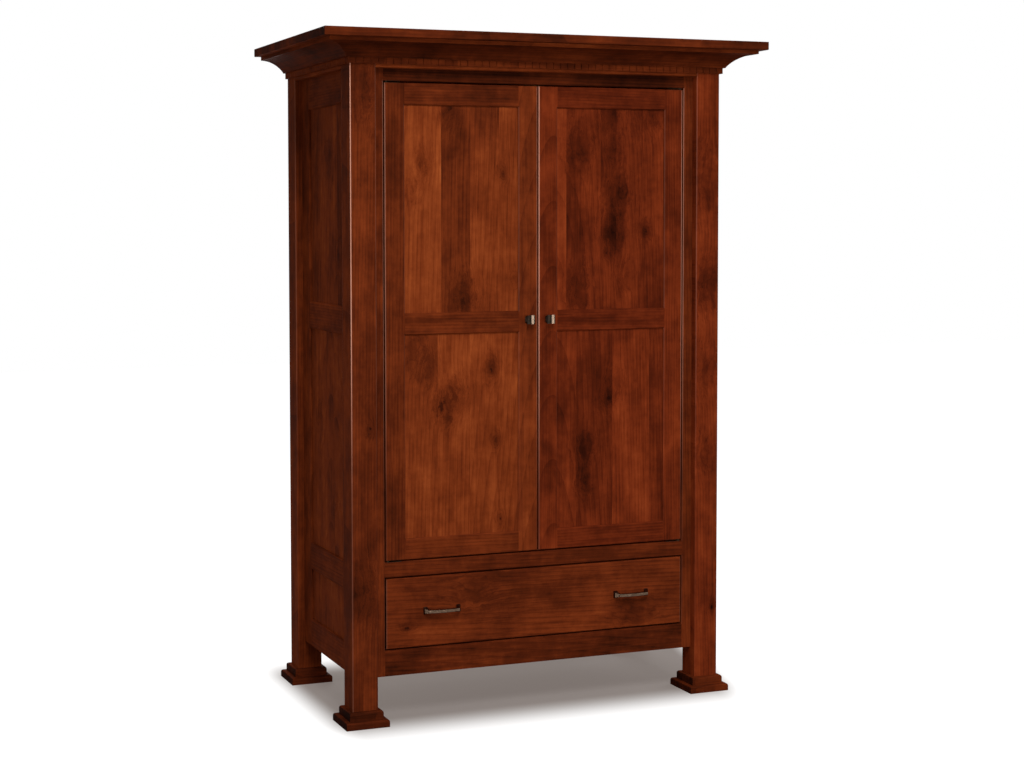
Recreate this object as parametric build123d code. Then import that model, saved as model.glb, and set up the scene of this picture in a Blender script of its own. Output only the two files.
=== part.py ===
"""Armoire: a two-door wardrobe over one wide drawer, in post-and-panel construction.

Millimetres, +Z up, the front looks along -Y. The origin is on the floor, under the middle of the
whole piece, from the crown's front edge to the back of the rear feet.
"""
import math
import os

from build123d import *

# Overall sizes
total_height = 1950.0
case_width = 1165.0
case_depth = 606.0

# Corner posts
post_size = 76.0
post_edge_round = 3.0

# Stepped feet under the posts
foot_lower_overhang = 26.5
foot_lower_height = 21.0
foot_upper_overhang = 12.5
foot_upper_height = 24.0
foot_edge_round = 7.0
foot_corner_round = 2.0
foot_tenon_diameter = 36.0
foot_tenon_length = 25.0

# Crown: top board, cove moulding and dentil strip
crown_overhang = 105.0
top_board_thickness = 24.0
top_board_edge_round = 2.0
cove_fillet_overhang = 84.0
cove_fillet_height = 10.5
cove_foot_overhang = 14.0
cove_height = 35.5
cove_lip_height = 2.0
dentil_overhang = 7.0
dentil_height = 17.0
dentil_pitch = 22.3
dentil_kerf_width = 2.0
dentil_kerf_depth = 2.5
frieze_reveal = 9.5
frieze_edge_round = 4.0

# Frames: face frame, side frames and door frames share one thickness
frame_thickness = 22.0
face_recess = 26.0
side_recess = 22.0
back_recess = 20.0
rail_underside = 130.5
face_stile_width = 30.2
door_opening_bottom = 457.0
header_reveal = 34.5
drawer_opening_bottom = 204.0
drawer_opening_top = 413.0
face_bevel = 2.0
face_tenon_length = 12.0
face_tenon_shoulder = 8.0

# Panels and their grooves
panel_recess = 6.5
panel_thickness = 8.0
panel_bevel = 3.0
groove_depth = 10.0
panel_edge_gap = 2.0

# Side frames
side_stile_width = 72.0
side_bottom_rail_top = 214.0
side_lower_rail_bottom = 366.0
side_lower_rail_top = 448.0
side_middle_rail_bottom = 1101.0
side_middle_rail_top = 1182.0
side_top_rail_height = 167.0

# Back
back_bottom_rail_top = 214.0
back_middle_rail_bottom = 419.0
back_middle_rail_top = 500.0
back_top_rail_height = 86.0

# Doors
reveal = 4.0
door_stile_width = 60.0
door_bottom_rail_height = 60.0
door_middle_rail_bottom = 1101.5
door_middle_rail_height = 62.0
door_top_rail_height = 62.0
door_edge_round = 3.0

# Knife hinges
hinge_pin_inset = 6.0
hinge_leaf_width = 9.0
hinge_leaf_end_gap = 2.0
hinge_leaf_thickness = 3.0
hinge_pin_diameter = 4.0
hinge_pin_extra = 2.0
hinge_screw_inset = 9.0
hinge_screw_diameter = 3.0
hinge_screw_head_diameter = 6.0
hinge_screw_head_height = 1.5
hinge_screw_length = 18.0

# Door catch
strike_width = 20.0
strike_height = 16.0
strike_thickness = 1.5
catch_width = 60.0
catch_depth = 22.0
catch_rise = 26.0
catch_drop = 24.0
magnet_depth = 6.0

# Knobs
knob_height = 1138.0
knob_screw_depth = 8.0
knob_sections = ((0.0, 18.0), (2.5, 18.0), (6.0, 11.0), (12.0, 12.0), (18.0, 25.0), (22.5, 25.0))
knob_dish_depth = 3.0

# Drawer
drawer_edge_round = 3.0
drawer_side_thickness = 15.0
drawer_side_bottom = 216.0
drawer_side_top = 386.0
drawer_back_gap = 26.0
drawer_bottom_thickness = 6.0
drawer_bottom_lift = 12.0
drawer_groove_depth = 6.0
drawer_tongue_thickness = 8.0
drawer_tongue_length = 8.0

# Bar pulls
pull_offset = 303.0
pull_height = 310.0
pull_hole_spacing = 101.6
pull_base_width = 12.0
pull_base_height = 22.0
pull_flare_depth = 8.0
pull_flare_width = 10.5
pull_flare_height = 13.0
pull_flare_lean = 1.0
pull_arm_width = 9.0
pull_arm_height = 9.0
pull_lean = 8.0
pull_projection = 28.0
pull_bow = 6.0
pull_bar_depth = 8.0
pull_bar_height = 9.0
pull_edge_round = 2.0

# Knob and pull screws
machine_screw_diameter = 4.0
machine_screw_head_diameter = 9.0
machine_screw_head_height = 2.5

# Drawer slides: three channels that run inside one another
slide_setback = 4.0
slide_end_gap = 36.0
slide_height = 46.0
slide_space = 12.7
slide_wall = 1.5
slide_lip = 1.0
slide_centre_height = 290.0
slide_block_height = 70.0

# Inner boards
wardrobe_floor_thickness = 18.0
bottom_board_thickness = 12.0
bottom_board_top = 200.0
hat_shelf_thickness = 18.0
hat_shelf_drop = 177.0
hat_shelf_front_setback = 70.0
cleat_thickness = 18.0
floor_cleat_height = 20.0
shelf_cleat_height = 80.0

# Clothes rod
rod_diameter = 25.0
rod_drop = 44.0
rod_socket_diameter = 40.0
rod_socket_depth = 14.0
rod_socket_floor = 2.0

# Clearances
glue_clearance = 0.1
panel_clearance = 0.15
board_clearance = 0.5
tenon_end_gap = 0.5
hinge_clearance = 0.05
slide_clearance = 0.3
catch_clearance = 0.3
thrust_clearance = 0.2

# Places that follow from the sizes
case_middle = (crown_overhang - foot_lower_overhang) / 2
case_front = case_middle - case_depth / 2
case_back = case_middle + case_depth / 2
case_right = case_width / 2
post_inner_x = case_right - post_size
front_post_back = case_front + post_size
back_post_front = case_back - post_size
foot_height = foot_lower_height + foot_upper_height
top_board_underside = total_height - top_board_thickness
cove_fillet_bottom = top_board_underside - cove_fillet_height
cove_foot_top = cove_fillet_bottom - cove_height
dentil_top = cove_foot_top - cove_lip_height
dentil_bottom = dentil_top - dentil_height
frieze_bottom = dentil_bottom - frieze_reveal
door_opening_top = frieze_bottom - header_reveal
face_front = case_front + face_recess
face_back = face_front + frame_thickness
side_outer = case_right - side_recess
side_inner = side_outer - frame_thickness
back_outer = case_back - back_recess
back_inner = back_outer - frame_thickness
opening_half = post_inner_x - face_stile_width
tongue = (panel_recess, panel_recess + panel_thickness)
groove = (panel_recess - panel_clearance, panel_recess + panel_thickness + panel_clearance)
wardrobe_floor_underside = door_opening_bottom - wardrobe_floor_thickness
hat_shelf_underside = door_opening_top - hat_shelf_drop
rod_height = hat_shelf_underside - rod_drop
drawer_length = back_inner - face_back - drawer_back_gap
slide_length = drawer_length - slide_setback - slide_end_gap


def block(x, y, z):
    """A box between a low and a high limit on each axis."""
    limits = (x, y, z)
    middle = [(low + high) / 2 for low, high in limits]
    sizes = [high - low for low, high in limits]
    return Pos(*middle) * Box(*sizes)


def grown(limits, by):
    """Two limits moved apart by the same amount."""
    return limits[0] - by, limits[1] + by


def upright(x, y, z, radius):
    """A round bar along Z between two heights."""
    return Pos(x, y, (z[0] + z[1]) / 2) * Cylinder(radius, z[1] - z[0])


def along_y(x, y, z, radius):
    """A round bar along Y between two depths."""
    return Pos(x, (y[0] + y[1]) / 2, z) * Rot(90, 0, 0) * Cylinder(radius, y[1] - y[0])


def along_x(x, y, z, radius):
    """A round bar along X between two limits."""
    return Pos((x[0] + x[1]) / 2, y, z) * Rot(0, 90, 0) * Cylinder(radius, x[1] - x[0])


def other_side(shape):
    """The same piece on the other side of the middle."""
    return shape.mirror(Plane.YZ)


def prism(corners, z):
    """An upright prism on the given plan."""
    plan = make_face(Polyline(*corners, close=True))
    return extrude(Pos(0, 0, z[0]) * plan, amount=z[1] - z[0], dir=(0, 0, 1))


def rectangle_wire(x, y, z):
    """A rectangle that faces forward, at depth y."""
    corners = [(x[0], y, z[0]), (x[1], y, z[0]), (x[1], y, z[1]), (x[0], y, z[1])]
    return Wire.make_polygon(corners, close=True)


def front_eased(solid, radius):
    """The same solid with its front face's edges rounded."""
    return fillet(solid.faces().sort_by(Axis.Y)[0].edges(), radius)


def upright_edges(solid):
    """The solid's edges along Z."""
    return solid.edges().filter_by(Axis.Z)


def save(name, *solids):
    """Write one node, a single solid or a group of solids."""
    shape = solids[0].solid() if len(solids) == 1 else Compound(children=[one.solid() for one in solids])
    export_step(shape, f"parts/{name}.step")


def bevel_cutter(x, z, bevel):
    """What a bevel takes off around an opening, on a frame that faces forward at y = 0."""
    outer = rectangle_wire(grown(x, 2 * bevel), -bevel, grown(z, 2 * bevel))
    inner = rectangle_wire(x, bevel, z)
    return Solid.make_loft([outer, inner], ruled=True)


def frame_and_panels(width, rails, stile_width):
    """Stiles, rails and panels of one frame that faces forward, centred on x = 0, front face at y = 0.

    rails lists each rail's lower and upper edge, from the bottom up. Rail ends and panels sit in one
    groove that runs round the inner edges.
    """
    half = width / 2
    inner = half - stile_width
    height = (rails[0][0], rails[-1][1])
    depth = (0, frame_thickness)
    spaces = [(lower[1], upper[0]) for lower, upper in zip(rails, rails[1:])]
    cutters = [bevel_cutter((-inner, inner), space, panel_bevel) for space in spaces]

    stile = block((-half, -inner), depth, height)
    stile -= block((-inner - groove_depth, -inner), groove, height)
    for cutter in cutters:
        stile -= cutter

    rail_reach = inner + groove_depth - tenon_end_gap
    rail_pieces = []
    for index, (low, high) in enumerate(rails):
        panel_below = index > 0
        panel_above = index < len(rails) - 1
        tenon_low = low + groove_depth if panel_below else low
        tenon_high = high - groove_depth if panel_above else high
        rail = block((-inner, inner), depth, (low, high))
        rail += block((-rail_reach, rail_reach), tongue, (tenon_low, tenon_high))
        if panel_below:
            rail -= block((-inner, inner), groove, (low, low + groove_depth))
        if panel_above:
            rail -= block((-inner, inner), groove, (high - groove_depth, high))
        for cutter in cutters:
            rail -= cutter
        rail_pieces.append(rail)

    tuck = groove_depth - panel_edge_gap
    panels = [block(grown((-inner, inner), tuck), tongue, grown(space, tuck)) for space in spaces]
    return [stile, other_side(stile)], rail_pieces, panels


os.makedirs("parts", exist_ok=True)


# Feet, with a round hole for the post's tenon
foot_half = post_size / 2
lower_half = foot_half + foot_lower_overhang
upper_half = foot_half + foot_upper_overhang
tenon_radius = foot_tenon_diameter / 2
tenon_bottom = foot_height - foot_tenon_length


def rounded_slab(half, z):
    """A square slab with soft corners and a rounded upper edge."""
    slab = block((-half, half), (-half, half), z)
    slab = fillet(upright_edges(slab), foot_corner_round)
    return fillet(slab.faces().sort_by(Axis.Z)[-1].edges(), foot_edge_round)


foot = rounded_slab(lower_half, (0, foot_lower_height))
foot += rounded_slab(upper_half, (foot_lower_height, foot_height))
foot -= upright(0, 0, (tenon_bottom - tenon_end_gap, foot_height), tenon_radius + glue_clearance)

# Corner posts, grooved for the frames between them
post_middle_x = case_right - foot_half
post_middle_front = case_front + foot_half
post_middle_back = case_back - foot_half
post_z = (foot_height, top_board_underside)
frame_z = (rail_underside, top_board_underside)
side_groove_x = (side_outer - groove[1], side_outer - groove[0])
face_groove_y = (face_front + groove[0], face_front + groove[1])
back_groove_y = (back_outer - groove[1], back_outer - groove[0])


def post(middle_y):
    """The right-hand post at the given depth, with its tenon but no grooves."""
    solid = block(grown((post_middle_x, post_middle_x), foot_half), grown((middle_y, middle_y), foot_half), post_z)
    solid = fillet(upright_edges(solid), post_edge_round)
    return solid + upright(post_middle_x, middle_y, (tenon_bottom, foot_height), tenon_radius)


post_front_right = post(post_middle_front)
post_front_right -= block(side_groove_x, (front_post_back - groove_depth, front_post_back), frame_z)
post_front_right -= block((post_inner_x, post_inner_x + groove_depth), face_groove_y, frame_z)
post_back_right = post(post_middle_back)
post_back_right -= block(side_groove_x, (back_post_front, back_post_front + groove_depth), frame_z)
post_back_right -= block((post_inner_x, post_inner_x + groove_depth), back_groove_y, frame_z)

save("post_front_right", post_front_right)
save("post_front_left", other_side(post_front_right))
save("post_back_right", post_back_right)
save("post_back_left", other_side(post_back_right))
save("foot_front_right", Pos(post_middle_x, post_middle_front, 0) * foot)
save("foot_front_left", Pos(-post_middle_x, post_middle_front, 0) * foot)
save("foot_back_right", Pos(post_middle_x, post_middle_back, 0) * foot)
save("foot_back_left", Pos(-post_middle_x, post_middle_back, 0) * foot)

# Side frames, tongued into the posts
side_width = back_post_front - front_post_back
side_middle = (back_post_front + front_post_back) / 2
side_rails = [
    (rail_underside, side_bottom_rail_top),
    (side_lower_rail_bottom, side_lower_rail_top),
    (side_middle_rail_bottom, side_middle_rail_top),
    (top_board_underside - side_top_rail_height, top_board_underside),
]
stiles, rails, panels = frame_and_panels(side_width, side_rails, side_stile_width)
tongue_reach = groove_depth - tenon_end_gap
stiles[0] += block((-side_width / 2 - tongue_reach, -side_width / 2), tongue, frame_z)
stiles[1] = other_side(stiles[0])
right_side = Pos(side_outer, side_middle, 0) * Rot(0, 0, 90)
bottom_board_z = (bottom_board_top - bottom_board_thickness, bottom_board_top)
for part_name, pieces in (("stiles", stiles), ("rails", rails), ("panels", panels)):
    placed = [right_side * piece for piece in pieces]
    save(f"side_right_{part_name}", *placed)
    save(f"side_left_{part_name}", *[other_side(piece) for piece in placed])

# Face frame: two stiles tongued into the posts, three rails tenoned into the stiles
face_y = (face_front, face_back)
face_tenon_y = (face_front + tongue[0], face_front + tongue[1])
face_mortise_y = grown(face_tenon_y, glue_clearance)
face_rails = {
    "bottom_rail": (rail_underside, drawer_opening_bottom),
    "mid_rail": (drawer_opening_top, door_opening_bottom),
    "header_rail": (door_opening_top, top_board_underside),
}
face_stile = block((opening_half, post_inner_x), face_y, frame_z)
face_stile += block((post_inner_x, post_inner_x + tongue_reach), face_tenon_y, frame_z)
face_rail_solids = {}
face_openings = ((door_opening_bottom, door_opening_top), (drawer_opening_bottom, drawer_opening_top))
face_cutters = []
for opening in face_openings:
    cutter = bevel_cutter((-opening_half, opening_half), opening, face_bevel)
    face_cutters.append(Pos(0, face_front, 0) * cutter)
for name, (low, high) in face_rails.items():
    rail = block((-opening_half, opening_half), face_y, (low, high))
    tenon_z = grown((low, high), -face_tenon_shoulder)
    tenon_half = opening_half + face_tenon_length
    rail += block((-tenon_half, tenon_half), face_tenon_y, tenon_z)
    mortise_x = (opening_half, tenon_half + tenon_end_gap)
    face_stile -= block(mortise_x, face_mortise_y, grown(tenon_z, glue_clearance))
    for cutter in face_cutters:
        rail -= cutter
    face_rail_solids[name] = rail
for cutter in face_cutters:
    face_stile -= cutter

# Doors: their limits, and the hinge axis inside the outer front corner
door_x = (-opening_half + reveal, -reveal / 2)
door_z = (door_opening_bottom + reveal, door_opening_top - reveal)
door_y = (face_front, face_back)
door_width = door_x[1] - door_x[0]
door_middle_x = (door_x[0] + door_x[1]) / 2
hinge_x = door_x[0] + hinge_pin_inset
hinge_y = face_front + hinge_pin_inset
leaf_half = hinge_leaf_width / 2
hinge_leaf_length = door_stile_width - groove_depth - hinge_pin_inset - hinge_leaf_end_gap
hinge_screw_spots = (leaf_half + hinge_screw_inset, hinge_leaf_length - hinge_screw_inset)
leaf_thickness = hinge_leaf_thickness
pin_radius = hinge_pin_diameter / 2


def hinge_leaf(z, extra=0.0):
    """A leaf of the left door's hinges, round at the pin end, or its recess with extra all round."""
    leaf = block((hinge_x, hinge_x + hinge_leaf_length + extra), grown((hinge_y, hinge_y), leaf_half + extra), z)
    return leaf + upright(hinge_x, hinge_y, z, leaf_half + extra)


def hinge_screw(spot, z, up, extra=0.0):
    """A countersunk screw whose flat head starts at height z and whose point looks up or down."""
    shank_radius = hinge_screw_diameter / 2 + extra
    head_radius = hinge_screw_head_diameter / 2 + extra
    head = Cone(head_radius, shank_radius, hinge_screw_head_height, align=(Align.CENTER, Align.CENTER, Align.MIN))
    shank = Cylinder(shank_radius, hinge_screw_length + extra, align=(Align.CENTER, Align.CENTER, Align.MIN))
    screw = head + shank
    turned = screw if up else Rot(180, 0, 0) * screw
    return Pos(hinge_x + spot, hinge_y, z) * turned


# Hinges of the left door, one set at the top and one at the bottom
case_leaves = []
case_screws = []
door_leaves = []
door_screws = []
door_cuts = []
case_cuts = {"header_rail": [], "mid_rail": []}
for at_top in (True, False):
    case_edge = door_opening_top if at_top else door_opening_bottom
    door_edge = door_z[1] if at_top else door_z[0]
    sign = 1 if at_top else -1
    rail_name = "header_rail" if at_top else "mid_rail"
    case_leaf_z = sorted((case_edge, case_edge + sign * leaf_thickness))
    door_leaf_z = sorted((door_edge, door_edge - sign * leaf_thickness))
    boss_end = door_edge + sign * (thrust_clearance if at_top else 0.0)
    boss_z = sorted((case_edge, boss_end))
    pin_end = door_edge - sign * (leaf_thickness + hinge_pin_extra)
    pin_z = sorted((case_edge, pin_end))
    hole_z = sorted((door_edge, pin_end - sign * tenon_end_gap))

    case_leaf = hinge_leaf(case_leaf_z)
    case_leaf += upright(hinge_x, hinge_y, boss_z, leaf_half)
    case_leaf += upright(hinge_x, hinge_y, pin_z, pin_radius)
    door_leaf = hinge_leaf(door_leaf_z)
    door_leaf -= upright(hinge_x, hinge_y, door_leaf_z, pin_radius + hinge_clearance)
    case_cuts[rail_name].append(hinge_leaf(case_leaf_z, glue_clearance))
    door_cuts.append(hinge_leaf(door_leaf_z, glue_clearance))
    door_cuts.append(upright(hinge_x, hinge_y, hole_z, pin_radius + 2 * glue_clearance))
    for spot in hinge_screw_spots:
        case_screws.append(hinge_screw(spot, case_edge, at_top))
        case_hole = hinge_screw(spot, case_edge, at_top, glue_clearance)
        case_leaf -= case_hole
        case_cuts[rail_name].append(case_hole)
        door_screws.append(hinge_screw(spot, door_edge, not at_top))
        door_hole = hinge_screw(spot, door_edge, not at_top, glue_clearance)
        door_leaf -= door_hole
        door_cuts.append(door_hole)
    case_leaves.append(case_leaf)
    door_leaves.append(door_leaf)

for rail_name, cuts in case_cuts.items():
    for cut in cuts:
        face_rail_solids[rail_name] -= cut
        face_rail_solids[rail_name] -= other_side(cut)

save("case_hinge_leaves", *case_leaves, *[other_side(leaf) for leaf in case_leaves])
save("case_hinge_screws", *case_screws, *[other_side(screw) for screw in case_screws])

# Doors: frame, panels, knob, knob screw and strike
door_rails = [
    (door_z[0], door_z[0] + door_bottom_rail_height),
    (door_middle_rail_bottom, door_middle_rail_bottom + door_middle_rail_height),
    (door_z[1] - door_top_rail_height, door_z[1]),
]
stiles, rails, panels = frame_and_panels(door_width, door_rails, door_stile_width)
door_place = Pos(door_middle_x, face_front, 0)
envelope = front_eased(block(door_x, door_y, door_z), door_edge_round)
stiles = [(door_place * stile) & envelope for stile in stiles]
rails = [(door_place * rail) & envelope for rail in rails]
panels = [door_place * panel for panel in panels]
for cut in door_cuts:
    stiles[0] -= cut

screw_radius = machine_screw_diameter / 2
screw_head_radius = machine_screw_head_diameter / 2


def machine_screw(x, z, reach):
    """A pan-head screw from behind a front: its head on the back face, its end reach in front."""
    shank = along_y(x, (face_front - reach, face_back), z, screw_radius)
    head = along_y(x, (face_back, face_back + machine_screw_head_height), z, screw_head_radius)
    return shank + head


def machine_screw_hole(x, z, reach):
    """The hole for that screw's shank."""
    return along_y(x, (face_front - reach - tenon_end_gap, face_back), z, screw_radius + glue_clearance)


knob_x = door_x[1] - door_stile_width / 2
knob_wires = []
for distance, size in knob_sections:
    knob_half = size / 2
    across = grown((knob_x, knob_x), knob_half)
    upward = grown((knob_height, knob_height), knob_half)
    knob_wires.append(rectangle_wire(across, face_front - distance, upward))
knob = Solid.make_loft(knob_wires, ruled=True)
knob_reach, knob_size = knob_sections[-1]
dish_radius = ((knob_size / 2) ** 2 + knob_dish_depth ** 2) / (2 * knob_dish_depth)
dish_middle = face_front - knob_reach - dish_radius + knob_dish_depth
knob -= upright(knob_x, dish_middle, grown((knob_height, knob_height), knob_size), dish_radius)
knob -= machine_screw_hole(knob_x, knob_height, knob_screw_depth)
knob_screw = machine_screw(knob_x, knob_height, knob_screw_depth)
stiles[1] -= machine_screw_hole(knob_x, knob_height, 0.0)

strike_x = (door_x[1] - (catch_width / 2 + strike_width) / 2, door_x[1] - (catch_width / 2 - strike_width) / 2)
strike_z = (door_z[1] - catch_drop + reveal, door_z[1] - catch_drop + reveal + strike_height)
strike = block(strike_x, (face_back, face_back + strike_thickness), strike_z)

door_pieces = {
    "stiles": stiles,
    "rails": rails,
    "panels": panels,
    "hinge_leaves": door_leaves,
    "hinge_screws": door_screws,
    "knob": [knob],
    "knob_screw": [knob_screw],
    "strike": [strike],
}
for piece_name, pieces in door_pieces.items():
    save(f"door_left_{piece_name}", *pieces)
    save(f"door_right_{piece_name}", *[other_side(piece) for piece in pieces])

# Catch behind the header, with a magnet for each strike
catch_front = face_back + strike_thickness + catch_clearance
catch_back = face_back + catch_depth
catch_x = (-catch_width / 2, catch_width / 2)
door_catch = block(catch_x, (face_back, catch_back), (door_opening_top, door_opening_top + catch_rise))
door_catch += block(catch_x, (catch_front, catch_back), (door_opening_top - catch_drop, door_opening_top))
magnet = block(strike_x, (catch_front, catch_front + magnet_depth), strike_z)
magnet_pocket = block(
    grown(strike_x, glue_clearance),
    (catch_front, catch_front + magnet_depth + glue_clearance),
    grown(strike_z, glue_clearance),
)
door_catch -= magnet_pocket
door_catch -= other_side(magnet_pocket)
save("door_catch", door_catch)
save("catch_magnets", magnet, other_side(magnet))

# Frieze boards between the posts, in front of the frames
frieze_z = (frieze_bottom, top_board_underside)
frieze_front = block((-post_inner_x, post_inner_x), (case_front, face_front), frieze_z)
frieze_front = fillet(frieze_front.edges().group_by(Axis.Z)[0].sort_by(Axis.Y)[0], frieze_edge_round)
frieze_side = block((side_outer, case_right), (front_post_back, back_post_front), frieze_z)
frieze_side = fillet(frieze_side.edges().group_by(Axis.Z)[0].sort_by(Axis.X)[-1], frieze_edge_round)
save("frieze", frieze_front, frieze_side, other_side(frieze_side))


def front_plan(overhang):
    """Plan of a strip along the case's front, mitred at both ends."""
    outer_x = case_right + overhang
    outer_y = case_front - overhang
    return [(-outer_x, outer_y), (outer_x, outer_y), (case_right, case_front), (-case_right, case_front)]


def side_plan(overhang):
    """Plan of a strip along the case's right side, mitred at the front end."""
    outer_x = case_right + overhang
    outer_y = case_front - overhang
    return [(outer_x, outer_y), (outer_x, case_back), (case_right, case_back), (case_right, case_front)]


# Dentil strip: one board with kerfs sawn across its face
dentil_z = (dentil_bottom, dentil_top)
dentil_face = dentil_overhang - dentil_kerf_depth
kerf_reach = 2 * dentil_overhang
kerf_half = dentil_kerf_width / 2
dentil_front = prism(front_plan(dentil_overhang), dentil_z)
dentil_front_length = case_width + 2 * dentil_overhang
tooth_count = round(dentil_front_length / dentil_pitch)
for index in range(1, tooth_count):
    kerf_x = -dentil_front_length / 2 + index * dentil_front_length / tooth_count
    kerf_y = (case_front - kerf_reach, case_front - dentil_face)
    dentil_front -= block(grown((kerf_x, kerf_x), kerf_half), kerf_y, dentil_z)
dentil_side = prism(side_plan(dentil_overhang), dentil_z)
dentil_side_length = case_depth + dentil_overhang
tooth_count = round(dentil_side_length / dentil_pitch)
for index in range(1, tooth_count):
    kerf_y = case_front - dentil_overhang + index * dentil_side_length / tooth_count
    kerf_x = (case_right + dentil_face, case_right + kerf_reach)
    dentil_side -= block(kerf_x, grown((kerf_y, kerf_y), kerf_half), dentil_z)
save("crown_dentil", dentil_front, dentil_side, other_side(dentil_side))

# Cove moulding: a hollow quarter-round under a square fillet, mitred at the front corners
cove_run = cove_fillet_overhang - cove_foot_overhang
cove_radius = (cove_run ** 2 + cove_height ** 2) / (2 * cove_height)
cove_half_angle = math.atan2(cove_run, cove_radius - cove_height) / 2
cove_mid_x = cove_fillet_overhang - cove_radius * math.sin(cove_half_angle)
cove_mid_z = cove_fillet_bottom - cove_radius + cove_radius * math.cos(cove_half_angle)
cove_start = (cove_foot_overhang, cove_foot_top)
cove_end = (cove_fillet_overhang, cove_fillet_bottom)
cove_edges = [
    Line((0, dentil_top), (cove_foot_overhang, dentil_top)),
    Line((cove_foot_overhang, dentil_top), cove_start),
    ThreePointArc(cove_start, (cove_mid_x, cove_mid_z), cove_end),
    Line(cove_end, (cove_fillet_overhang, top_board_underside)),
    Line((cove_fillet_overhang, top_board_underside), (0, top_board_underside)),
    Line((0, top_board_underside), (0, dentil_top)),
]
cove_profile = make_face(cove_edges)
cove_z = (dentil_top, top_board_underside)
front_plane = Plane(origin=(0, case_front, 0), x_dir=(0, -1, 0), z_dir=(-1, 0, 0))
side_plane = Plane(origin=(case_right, case_middle, 0), x_dir=(1, 0, 0), z_dir=(0, -1, 0))
cove_front = extrude(front_plane * cove_profile, amount=case_right + crown_overhang, both=True)
cove_front &= prism(front_plan(cove_fillet_overhang), cove_z)
cove_side = extrude(side_plane * cove_profile, amount=case_depth / 2 + crown_overhang, both=True)
cove_side &= prism(side_plan(cove_fillet_overhang), cove_z)
save("crown_cove", cove_front, cove_side, other_side(cove_side))

# Top board, flush with the posts at the back
top_half = case_right + crown_overhang
top_board = block((-top_half, top_half), (case_front - crown_overhang, case_back), (top_board_underside, total_height))
top_board = fillet(top_board.edges().filter_by(Axis.Z, reverse=True), top_board_edge_round)
save("top_board", top_board)

# Back: three rails and two panels in the back posts' grooves
back_y = (back_inner, back_outer)
back_tongue_y = (back_outer - tongue[1], back_outer - tongue[0])
back_rails = [
    (rail_underside, back_bottom_rail_top),
    (back_middle_rail_bottom, back_middle_rail_top),
    (top_board_underside - back_top_rail_height, top_board_underside),
]
back_spaces = [(lower[1], upper[0]) for lower, upper in zip(back_rails, back_rails[1:])]
back_rail_solids = []
for index, (low, high) in enumerate(back_rails):
    panel_below = index > 0
    panel_above = index < len(back_rails) - 1
    tenon_low = low + groove_depth if panel_below else low
    tenon_high = high - groove_depth if panel_above else high
    rail = block((-post_inner_x, post_inner_x), back_y, (low, high))
    rail += block(grown((-post_inner_x, post_inner_x), tongue_reach), back_tongue_y, (tenon_low, tenon_high))
    if panel_below:
        rail -= block((-post_inner_x, post_inner_x), back_groove_y, (low, low + groove_depth))
    if panel_above:
        rail -= block((-post_inner_x, post_inner_x), back_groove_y, (high - groove_depth, high))
    back_rail_solids.append(rail)
back_tuck = groove_depth - panel_edge_gap
back_panel_x = grown((-post_inner_x, post_inner_x), back_tuck)
back_panels = [block(back_panel_x, back_tongue_y, grown(space, back_tuck)) for space in back_spaces]
save("back_panels", *back_panels)

# Bottom board under the drawer, let into the bottom rail and the back's bottom rail
board_groove_z = grown(bottom_board_z, panel_clearance)
board_groove_x = (-post_inner_x, post_inner_x)
face_groove_limits = (face_back - face_tenon_shoulder, face_back)
back_groove_limits = (back_inner, back_inner + face_tenon_shoulder)
face_rail_solids["bottom_rail"] -= block((-opening_half, opening_half), face_groove_limits, board_groove_z)
back_rail_solids[0] -= block(board_groove_x, back_groove_limits, board_groove_z)
tongue_in_groove = face_tenon_shoulder - tenon_end_gap
side_clear = side_inner - board_clearance
bottom_board = block((-side_clear, side_clear), (front_post_back, back_post_front), bottom_board_z)
bottom_board += block(
    grown((-opening_half, opening_half), -board_clearance),
    (face_back - tongue_in_groove, front_post_back),
    bottom_board_z,
)
bottom_board += block(
    grown((-post_inner_x, post_inner_x), -board_clearance),
    (back_post_front, back_inner + tongue_in_groove),
    bottom_board_z,
)
save("bottom_board", bottom_board)
save("back_rails", *back_rail_solids)
for name, rail in face_rail_solids.items():
    save(name, rail)
save("face_stiles", face_stile, other_side(face_stile))

# Wardrobe floor between the doors' space and the drawer
floor_z = (wardrobe_floor_underside, door_opening_bottom)
floor_x = grown((-post_inner_x, post_inner_x), -board_clearance)
wardrobe_floor = block((-side_clear, side_clear), grown((front_post_back, back_post_front), -board_clearance), floor_z)
wardrobe_floor += block(floor_x, (face_back, back_inner), floor_z)
save("wardrobe_floor", wardrobe_floor)

# Hat shelf
shelf_z = (hat_shelf_underside, hat_shelf_underside + hat_shelf_thickness)
shelf_y = (front_post_back + hat_shelf_front_setback, back_post_front - board_clearance)
save("hat_shelf", block((-side_clear, side_clear), shelf_y, shelf_z))

# Cleats on the side frames, under the wardrobe floor and the hat shelf
cleat_x = (side_inner - cleat_thickness, side_inner)
cleat_y = (front_post_back, back_post_front)
floor_cleat = block(cleat_x, cleat_y, (wardrobe_floor_underside - floor_cleat_height, wardrobe_floor_underside))
shelf_cleat = block(cleat_x, cleat_y, (hat_shelf_underside - shelf_cleat_height, hat_shelf_underside))
save("cleats", floor_cleat, shelf_cleat, other_side(floor_cleat), other_side(shelf_cleat))

# Clothes rod in two cup sockets on the shelf cleats
rod_radius = rod_diameter / 2
socket_x = (cleat_x[0] - rod_socket_depth, cleat_x[0])
rod_end = cleat_x[0] - rod_socket_floor
rod_socket = along_x(socket_x, case_middle, rod_height, rod_socket_diameter / 2)
rod_socket -= along_x((socket_x[0], rod_end), case_middle, rod_height, rod_radius + glue_clearance)
save("rod_sockets", rod_socket, other_side(rod_socket))
rod_reach = rod_end - tenon_end_gap
save("clothes_rod", along_x((-rod_reach, rod_reach), case_middle, rod_height, rod_radius))

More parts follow.
